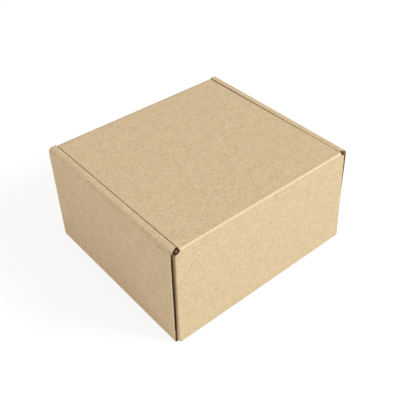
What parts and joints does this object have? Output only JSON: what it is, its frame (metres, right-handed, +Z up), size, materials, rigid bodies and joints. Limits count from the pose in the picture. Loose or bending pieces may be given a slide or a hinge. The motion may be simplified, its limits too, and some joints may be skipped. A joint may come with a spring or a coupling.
{
  "type": "mailing box",
  "caption": "Small closed mailing box of kraft corrugated board: rolled double side walls, dust flaps, and a hinged lid with a tuck flap and ears.",
  "frame": {"origin": "centre of the footprint, on the surface that the box stands on", "axes": "+X along the hinge crease, +Y from the front wall to the hinged back wall, +Z up"},
  "size_m": [0.15, 0.138, 0.077],
  "materials": {
    "kraft_board": "matt"
  },
  "bodies": {
    "tray": {"tray": "kraft_board"},
    "lid": {"lid": "kraft_board"}
  },
  "joints": [
    {"name": "lid_hinge", "type": "hinge", "parent": "tray", "child": "lid", "pos_m": [0, 0.068, 0.076], "axis": [-1, 0, 0], "range_deg": [0, 180]}
  ]
}
